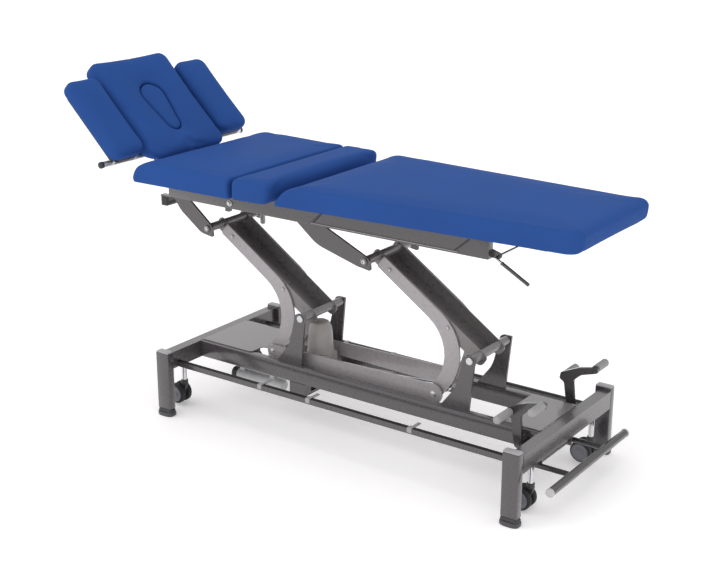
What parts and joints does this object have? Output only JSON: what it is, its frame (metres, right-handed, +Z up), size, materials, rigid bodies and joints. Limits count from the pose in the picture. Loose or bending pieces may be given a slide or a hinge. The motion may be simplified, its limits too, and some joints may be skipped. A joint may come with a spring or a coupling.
{
  "type": "treatment table",
  "caption": "Padded treatment table with a tilting head section, armrests and leg section on a parallel-lever lift base with foot controls and drop-down castors.",
  "frame": {"origin": "centre of the whole table's outline, on the floor", "axes": "+X towards the foot end, +Y across, +Z up"},
  "size_m": [1.9949, 0.74, 1.1961],
  "materials": {
    "frame_paint": "satin anthracite powder coat",
    "plate_paint": "satin light grey powder coat",
    "vinyl": "soft blue vinyl",
    "rubber": "matt black",
    "chrome": "polished",
    "housing": "fine texture",
    "light_plastic": "smooth"
  },
  "bodies": {
    "actuator": {"actuator_motor": "housing"},
    "base": {"actuator_mount": "frame_paint", "beam_far": "frame_paint", "beam_near": "frame_paint", "control_unit": "light_plastic", "foot_crossbeam": "frame_paint", "foot_foot_far": "rubber", "foot_foot_near": "rubber", "foot_head_far": "rubber", "foot_head_near": "rubber", "foot_tray": "frame_paint", "front_base_axle": "chrome", "head_crossbeam": "frame_paint", "head_tray": "frame_paint", "leg_foot_far": "frame_paint", "leg_foot_near": "frame_paint", "leg_head_far": "frame_paint", "leg_head_near": "frame_paint", "rear_base_axle": "chrome"},
    "thrust": {"actuator_rod": "chrome"},
    "armrest_far": {"armrest_arm_far": "chrome", "armrest_pad_far": "vinyl"},
    "armrest_near": {"armrest_arm_near": "chrome", "armrest_pad_near": "vinyl"},
    "castors_foot": {"castor_bar_foot": "chrome"},
    "castors_head": {"castor_bar_head": "chrome"},
    "swivel_foot_far": {"castor_fork_foot_far": "rubber"},
    "swivel_foot_near": {"castor_fork_foot_near": "rubber"},
    "swivel_head_far": {"castor_fork_head_far": "rubber"},
    "swivel_head_near": {"castor_fork_head_near": "rubber"},
    "spin_foot_far": {"castor_wheels_foot_far": "rubber"},
    "spin_foot_near": {"castor_wheels_foot_near": "rubber"},
    "spin_head_far": {"castor_wheels_head_far": "rubber"},
    "spin_head_near": {"castor_wheels_head_near": "rubber"},
    "chest": {"chest_frame": "frame_paint", "chest_pad": "vinyl"},
    "plug": {"face_plug": "vinyl"},
    "foot_bar_far": {"foot_bar_far": "frame_paint"},
    "foot_bar_near": {"foot_bar_near": "frame_paint"},
    "front_lever": {"front_channel": "frame_paint", "front_plate_far": "plate_paint", "front_plate_near": "plate_paint"},
    "head": {"head_frame": "frame_paint", "head_pad": "vinyl"},
    "leg_rest": {"leg_frame": "frame_paint", "leg_pad": "vinyl"},
    "lift": {"lift_pedal": "frame_paint"},
    "top": {"mid_frame": "frame_paint", "mid_pad": "vinyl", "rail_cross_head": "frame_paint", "rail_far": "frame_paint", "rail_near": "frame_paint"},
    "pedal_far": {"pedal_far": "frame_paint"},
    "pedal_near": {"pedal_near": "frame_paint"},
    "rear_lever": {"rear_channel": "frame_paint", "rear_plate_far": "plate_paint", "rear_plate_near": "plate_paint"},
    "release": {"release_lever": "chrome"},
    "tie": {"tie_plate_far": "plate_paint", "tie_plate_near": "plate_paint"}
  },
  "joints": [
    {"name": "height_lift", "type": "hinge", "parent": "base", "child": "front_lever", "pos_m": [-0.07984, 0, 0.402], "axis": [0, 1, 0], "range_deg": [-50, 11]},
    {"name": "rear_lever_turn", "type": "hinge", "parent": "base", "child": "rear_lever", "pos_m": [0.58936, 0, 0.402], "axis": [0, 1, 0], "range_deg": [-52, 12]},
    {"name": "top_level", "type": "hinge", "parent": "front_lever", "child": "top", "pos_m": [-0.46783, 0, 0.6637], "axis": [0, 1, 0], "range_deg": [-12, 52]},
    {"name": "tie_level", "type": "hinge", "parent": "front_lever", "child": "tie", "pos_m": [-0.2377, 0, 0.23949], "axis": [0, 1, 0], "range_deg": [-12, 52]},
    {"name": "actuator_swing", "type": "hinge", "parent": "base", "child": "actuator", "pos_m": [-0.08484, 0, 0.2], "axis": [0, 1, 0], "range_deg": [-3, 9]},
    {"name": "actuator_stroke", "type": "slide", "parent": "actuator", "child": "thrust", "axis": [0.9971, 0, 0.0763], "range_m": [-0.04, 0.18]},
    {"name": "chest_tilt", "type": "hinge", "parent": "top", "child": "chest", "pos_m": [-0.20483, 0, 0.8305], "axis": [0, 1, 0], "range_deg": [0, 15]},
    {"name": "leg_tilt", "type": "hinge", "parent": "top", "child": "leg_rest", "pos_m": [-0.05583, 0, 0.8305], "axis": [0, -1, 0], "range_deg": [0, 50]},
    {"name": "head_tilt", "type": "hinge", "parent": "chest", "child": "head", "pos_m": [-0.67183, 0, 0.845], "axis": [0, 1, 0], "range_deg": [-90, 5]},
    {"name": "plug_pull", "type": "slide", "parent": "head", "child": "plug", "axis": [0.7034, 0, 0.7108], "range_m": [0, 0.08]},
    {"name": "armrest_near_drop", "type": "hinge", "parent": "head", "child": "armrest_near", "pos_m": [-0.74287, 0, 0.89406], "axis": [0, 1, 0], "range_deg": [-50, 0]},
    {"name": "armrest_far_drop", "type": "hinge", "parent": "head", "child": "armrest_far", "pos_m": [-0.74287, 0, 0.89406], "axis": [0, 1, 0], "range_deg": [-50, 0]},
    {"name": "release_pull", "type": "hinge", "parent": "top", "child": "release", "pos_m": [0.68817, 0, 0.768], "axis": [0, -1, 0], "range_deg": [-2, 12], "stiffness_Nm_per_rad": 2, "springref_deg": -5.73},
    {"name": "pedal_near_rock", "type": "hinge", "parent": "base", "child": "pedal_near", "pos_m": [0.80416, 0, 0.2], "axis": [0, 1, 0], "range_deg": [-8, 8], "stiffness_Nm_per_rad": 25},
    {"name": "foot_bar_near_press", "type": "slide", "parent": "base", "child": "foot_bar_near", "axis": [0, 0, -1], "range_m": [0, 0.006], "stiffness_N_per_m": 5000, "springref_m": -0.006},
    {"name": "pedal_far_rock", "type": "hinge", "parent": "base", "child": "pedal_far", "pos_m": [0.80416, 0, 0.2], "axis": [0, 1, 0], "range_deg": [-8, 8], "stiffness_Nm_per_rad": 25},
    {"name": "foot_bar_far_press", "type": "slide", "parent": "base", "child": "foot_bar_far", "axis": [0, 0, -1], "range_m": [0, 0.006], "stiffness_N_per_m": 5000, "springref_m": -0.006},
    {"name": "lift_pedal_press", "type": "hinge", "parent": "base", "child": "lift", "pos_m": [0.83416, 0, 0.114], "axis": [0, 1, 0], "range_deg": [0, 20]},
    {"name": "castor_drop_head", "type": "slide", "parent": "base", "child": "castors_head", "axis": [0, 0, -1], "range_m": [0, 0.0145]},
    {"name": "castor_swivel_head_near", "type": "hinge", "parent": "castors_head", "child": "swivel_head_near", "pos_m": [-0.54859, -0.205, 0.098], "axis": [0, 0, 1], "continuous": true},
    {"name": "castor_spin_head_near", "type": "hinge", "parent": "swivel_head_near", "child": "spin_head_near", "pos_m": [-0.57359, -0.205, 0.0435], "axis": [0, 1, 0], "continuous": true},
    {"name": "castor_swivel_head_far", "type": "hinge", "parent": "castors_head", "child": "swivel_head_far", "pos_m": [-0.54859, 0.205, 0.098], "axis": [0, 0, 1], "continuous": true},
    {"name": "castor_spin_head_far", "type": "hinge", "parent": "swivel_head_far", "child": "spin_head_far", "pos_m": [-0.57359, 0.205, 0.0435], "axis": [0, 1, 0], "continuous": true},
    {"name": "castor_drop_foot", "type": "slide", "parent": "base", "child": "castors_foot", "axis": [0, 0, -1], "range_m": [0, 0.0145]},
    {"name": "castor_swivel_foot_near", "type": "hinge", "parent": "castors_foot", "child": "swivel_foot_near", "pos_m": [0.86491, -0.205, 0.098], "axis": [0, 0, 1], "continuous": true},
    {"name": "castor_spin_foot_near", "type": "hinge", "parent": "swivel_foot_near", "child": "spin_foot_near", "pos_m": [0.83991, -0.205, 0.0435], "axis": [0, 1, 0], "continuous": true},
    {"name": "castor_swivel_foot_far", "type": "hinge", "parent": "castors_foot", "child": "swivel_foot_far", "pos_m": [0.86491, 0.205, 0.098], "axis": [0, 0, 1], "continuous": true},
    {"name": "castor_spin_foot_far", "type": "hinge", "parent": "swivel_foot_far", "child": "spin_foot_far", "pos_m": [0.83991, 0.205, 0.0435], "axis": [0, 1, 0], "continuous": true}
  ],
  "couplings": [
    {"joint": "rear_lever_turn", "follows": "height_lift", "ratio": 1},
    {"joint": "top_level", "follows": "height_lift", "ratio": -1},
    {"joint": "tie_level", "follows": "height_lift", "ratio": -1},
    {"joint": "actuator_swing", "follows": "height_lift", "ratio": -0.16},
    {"joint": "actuator_stroke", "follows": "height_lift", "m_per_rad": -0.2},
    {"joint": "castor_drop_head", "follows": "lift_pedal_press", "m_per_rad": 0.04},
    {"joint": "castor_drop_foot", "follows": "lift_pedal_press", "m_per_rad": 0.04}
  ]
}
